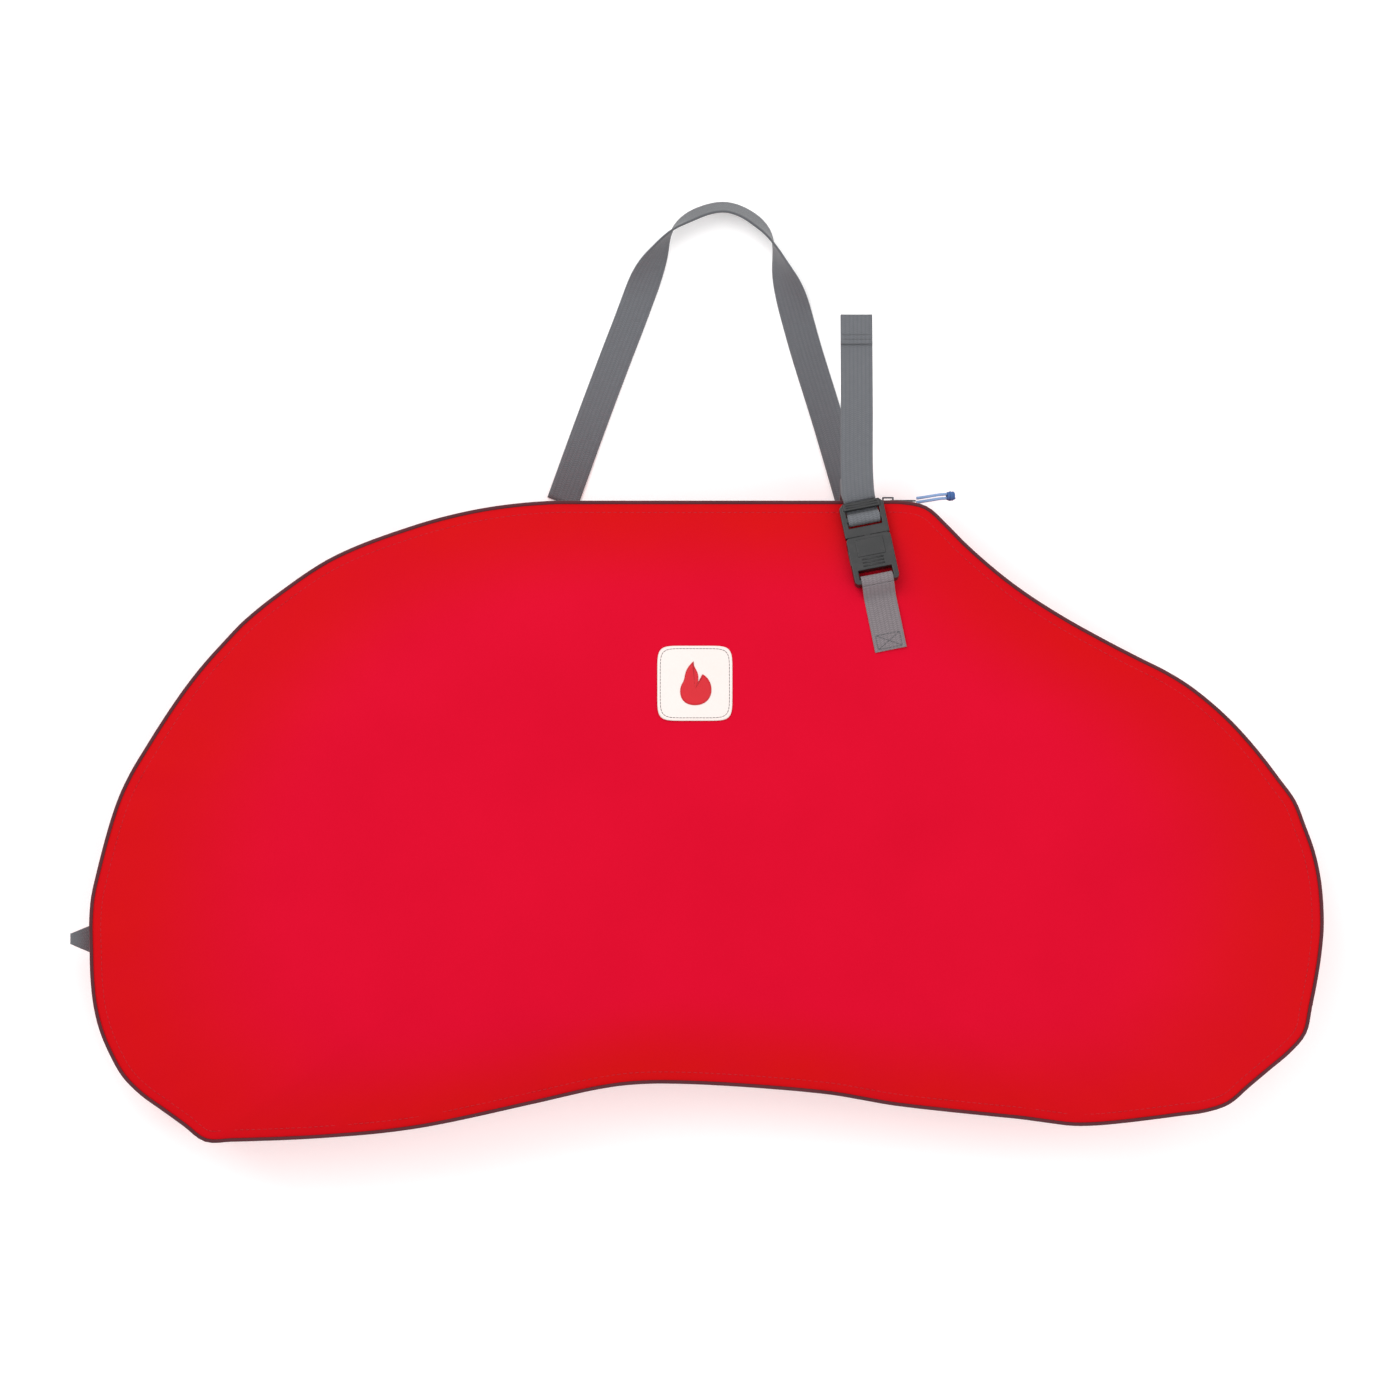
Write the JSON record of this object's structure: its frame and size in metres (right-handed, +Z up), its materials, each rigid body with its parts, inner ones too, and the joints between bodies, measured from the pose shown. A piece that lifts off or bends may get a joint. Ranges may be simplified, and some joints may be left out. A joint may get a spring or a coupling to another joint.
{
  "type": "fire blanket",
  "caption": "Large folded fire blanket in a zipped kidney-shaped carry bag with a webbing handle, closing strap and side-release buckle.",
  "frame": {"origin": "on the face the bag lies on, under the middle of the bag", "axes": "+X along the bag towards the buckle end, +Y towards the carry handle, +Z up through the front panel"},
  "size_m": [0.9777, 0.7354, 0.1255],
  "materials": {
    "bag_cloth": "coated woven polyester, satin",
    "piping": "corded edging",
    "zip_tape": "woven tape",
    "zip_coil": "moulded coil",
    "slider_metal": "dark enamel",
    "webbing": "ribbed polypropylene webbing",
    "buckle_plastic": "moulded acetal",
    "cord": "braided cord",
    "blanket_glass": "silicone coated glass cloth",
    "loop_tape": "heat resistant tape",
    "badge_cloth": "sewn label",
    "badge_print": "printed flame"
  },
  "bodies": {
    "bag": {"back_panel": "bag_cloth", "front_panel": "bag_cloth", "gusset_band": "bag_cloth", "gusset_rear": "bag_cloth", "gusset_front_end": "bag_cloth", "zip_tape_rear": "zip_tape", "zip_teeth_rear": "zip_coil", "zip_tape_front_end": "zip_tape", "zip_teeth_front_end": "zip_coil", "piping_rear": "piping", "piping_front": "piping", "zip_stop": "slider_metal", "closing_strap": "webbing", "buckle_plug": "buckle_plastic", "anchor_webbing": "webbing", "badge": "badge_cloth", "badge_flame": "badge_print", "blanket": "blanket_glass", "blanket_loop_1": "loop_tape", "blanket_loop_2": "loop_tape"},
    "flap": {"flap_panel": "bag_cloth", "gusset_flap": "bag_cloth", "zip_tape_flap": "zip_tape", "zip_teeth_flap": "zip_coil", "piping_flap": "piping"},
    "slider": {"slider": "slider_metal"},
    "pull": {"pull_tab": "slider_metal", "cord_run_outer": "cord", "cord_run_inner": "cord", "cord_knot": "cord"},
    "handle": {"handle_webbing": "webbing"},
    "tail": {"strap_tail": "webbing"},
    "socket": {"buckle_socket": "buckle_plastic"},
    "latch_left": {"latch_arm_left": "buckle_plastic"},
    "latch_right": {"latch_arm_right": "buckle_plastic"},
    "tab": {"grab_tab": "webbing"}
  },
  "joints": [
    {"name": "flap_open", "type": "hinge", "parent": "bag", "child": "flap", "pos_m": [-0.475, -0.096, 0.121], "axis": [0.8649, 0.5019, 0], "range_deg": [0, 95]},
    {"name": "zip_slide", "type": "slide", "parent": "bag", "child": "slider", "axis": [-1, 0, 0], "range_m": [0, 0.215]},
    {"name": "pull_swing", "type": "hinge", "parent": "slider", "child": "pull", "pos_m": [0.1494, 0.2338, 0.05], "axis": [0, 0, 1], "range_deg": [0, 90]},
    {"name": "handle_lift", "type": "hinge", "parent": "bag", "child": "handle", "pos_m": [0.0055, 0.2333, 0.0021], "axis": [1, 0, 0], "range_deg": [0, 60]},
    {"name": "tail_flip", "type": "hinge", "parent": "bag", "child": "tail", "pos_m": [0.12421, 0.23265, 0.10327], "axis": [0.9797, 0.1904, -0.0624], "range_deg": [0, 95]},
    {"name": "buckle_release", "type": "slide", "parent": "bag", "child": "socket", "axis": [0.1998, -0.9517, 0.2332], "range_m": [0, 0.026], "deforming": ["anchor_webbing"]},
    {"name": "latch_left_squeeze", "type": "hinge", "parent": "bag", "child": "latch_left", "pos_m": [0.12322, 0.20363, 0.11132], "axis": [0.015, 0.2409, 0.9704], "range_deg": [0, 10]},
    {"name": "latch_right_squeeze", "type": "hinge", "parent": "bag", "child": "latch_right", "pos_m": [0.13693, 0.2063, 0.11045], "axis": [-0.015, -0.2409, -0.9704], "range_deg": [0, 10]},
    {"name": "tab_flip", "type": "hinge", "parent": "bag", "child": "tab", "pos_m": [-0.47208, -0.1088, 0.0518], "axis": [0, 1, 0], "range_deg": [0, 60]}
  ],
  "couplings": [
    {"joint": "latch_left_squeeze", "follows": "buckle_release", "rad_per_m": 6},
    {"joint": "latch_right_squeeze", "follows": "buckle_release", "rad_per_m": 6}
  ]
}
